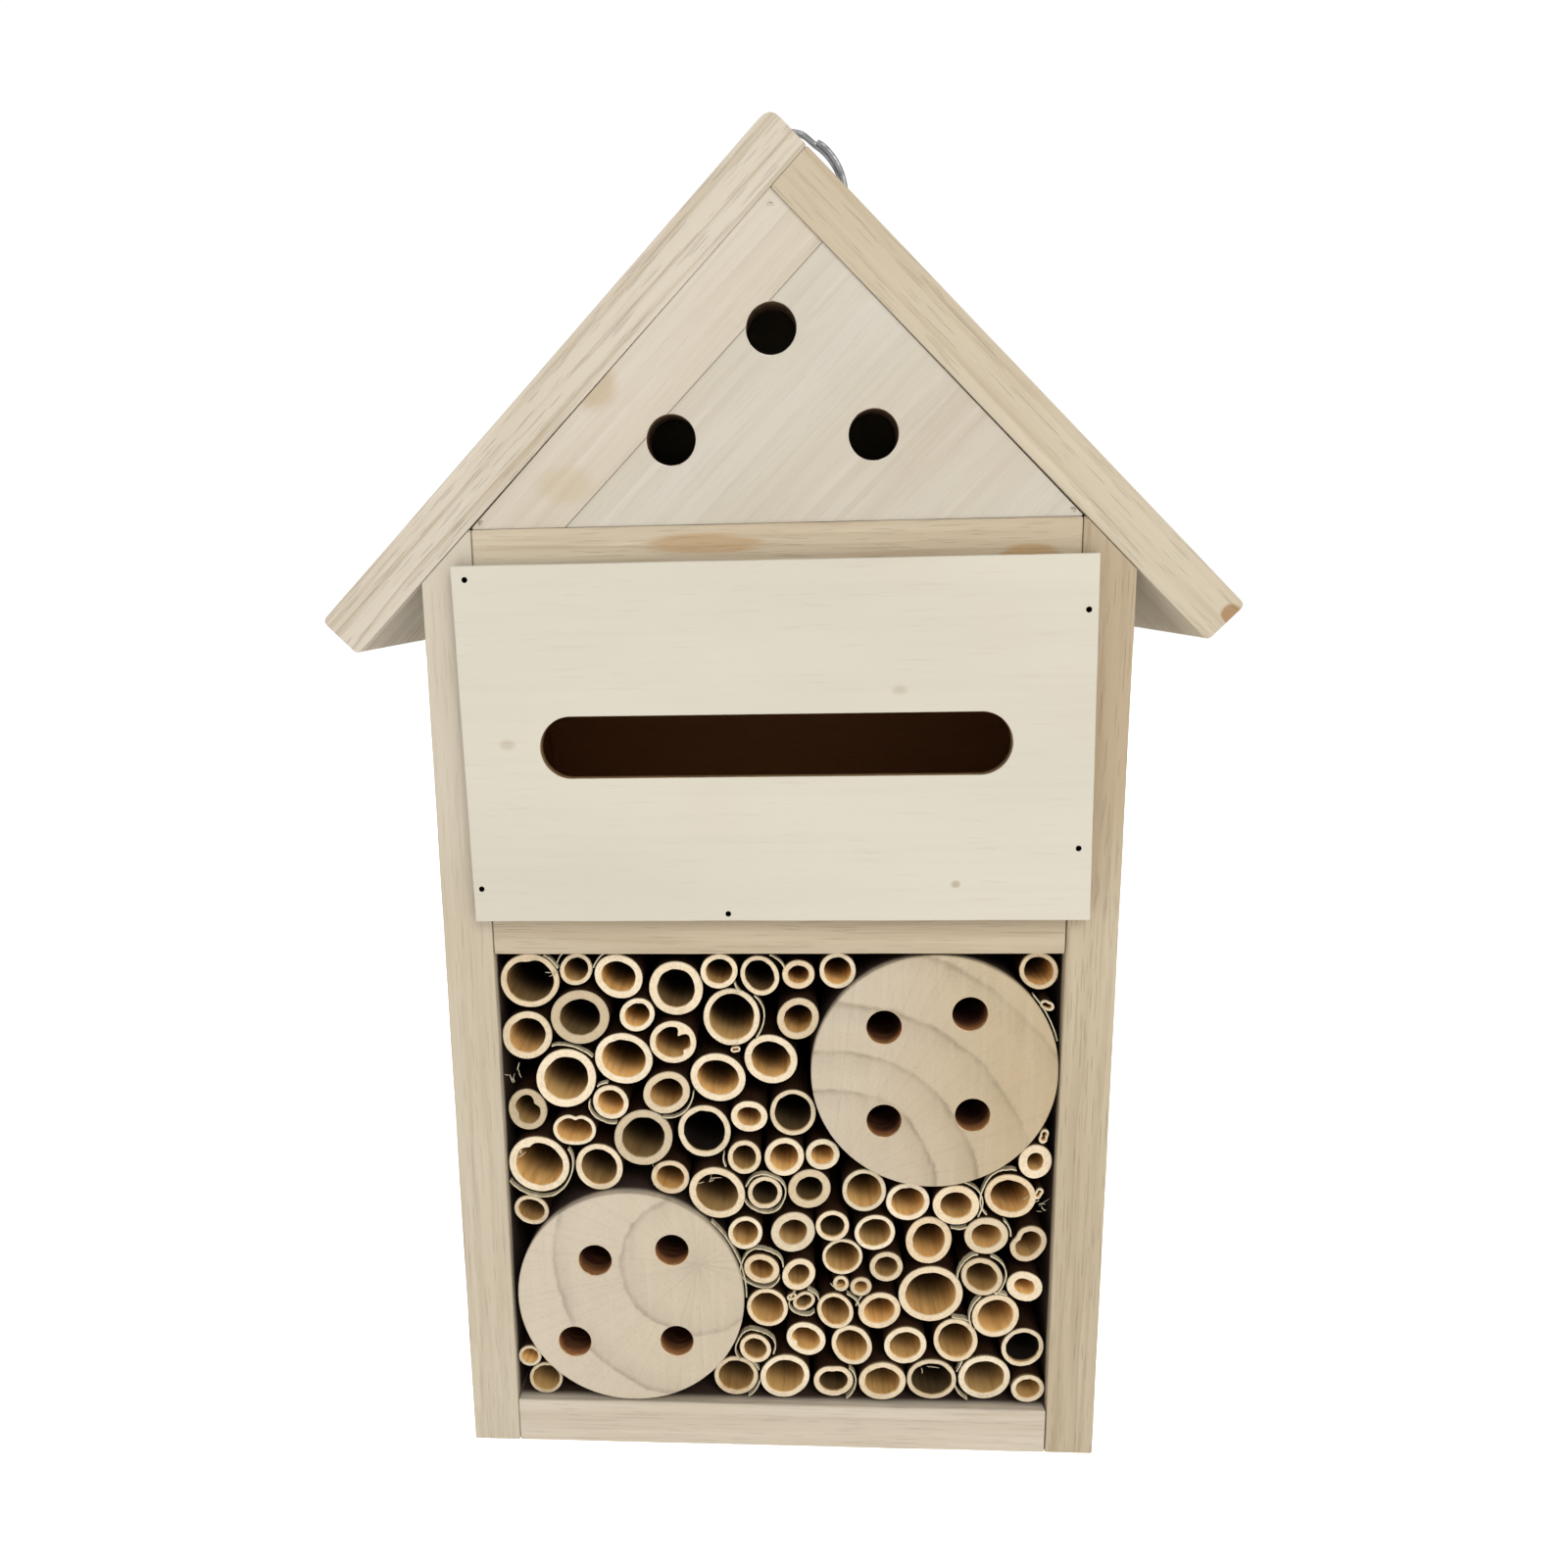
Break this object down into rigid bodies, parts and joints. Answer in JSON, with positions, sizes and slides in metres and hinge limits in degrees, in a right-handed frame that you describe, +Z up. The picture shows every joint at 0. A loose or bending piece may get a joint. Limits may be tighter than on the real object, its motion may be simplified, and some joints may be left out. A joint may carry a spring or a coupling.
{
  "type": "insect hotel",
  "caption": "Small pitched-roof insect house of plain boards, with a slotted panel, drilled gable, log blocks and a bay packed with hollow reeds.",
  "frame": {"origin": "on the standing face, under the middle of the body", "axes": "+Z up, +X to the right seen from the front, the front faces -Y"},
  "size_m": [0.171, 0.0934, 0.2816],
  "materials": {
    "pale_board": "sawn, unfinished",
    "smooth_ply": "smooth, unfinished",
    "back_ply": "smooth, unfinished",
    "pine_log": "sawn end grain",
    "reed": "natural reed, cut ends",
    "brad_steel": "dull",
    "ring_steel": "bright plated"
  },
  "bodies": {
    "root": {"attic_floor": "pale_board", "back_panel": "back_ply", "back_panel_brads": "brad_steel", "base_board": "pale_board", "gable_panel": "pale_board", "gable_panel_brads": "brad_steel", "left_side": "pale_board", "left_side_brads": "brad_steel", "lower_log_block": "pine_log", "middle_shelf": "pale_board", "reed_01": "reed", "reed_02": "reed", "reed_03": "reed", "reed_04": "reed", "reed_05": "reed", "reed_06": "reed", "reed_07": "reed", "reed_08": "reed", "reed_09": "reed", "reed_10": "reed", "reed_11": "reed", "reed_12": "reed", "reed_13": "reed", "reed_14": "reed", "reed_15": "reed", "reed_16": "reed", "reed_17": "reed", "reed_18": "reed", "reed_19": "reed", "reed_20": "reed", "reed_21": "reed", "reed_22": "reed", "reed_23": "reed", "reed_24": "reed", "reed_25": "reed", "reed_26": "reed", "reed_27": "reed", "reed_28": "reed", "reed_29": "reed", "reed_30": "reed", "reed_31": "reed", "reed_32": "reed", "ridge_brads": "brad_steel", "right_side": "pale_board", "right_side_brads": "brad_steel", "roof_board_left": "pale_board", "roof_board_right": "pale_board", "roof_brads": "brad_steel", "screw_eye": "ring_steel", "slot_panel": "smooth_ply", "slot_panel_brads": "brad_steel", "thin_reeds_1": "reed", "thin_reeds_2": "reed", "thin_reeds_3": "reed", "thin_reeds_4": "reed", "thin_reeds_5": "reed", "thin_reeds_6": "reed", "thin_reeds_7": "reed", "upper_log_block": "pine_log"},
    "ring": {"split_ring": "ring_steel"}
  },
  "joints": [
    {"name": "ring_swing", "type": "hinge", "parent": "root", "child": "ring", "pos_m": [0.002, 0.046, 0.25253], "axis": [-1, 0, 0], "range_deg": [-65, 185]}
  ]
}
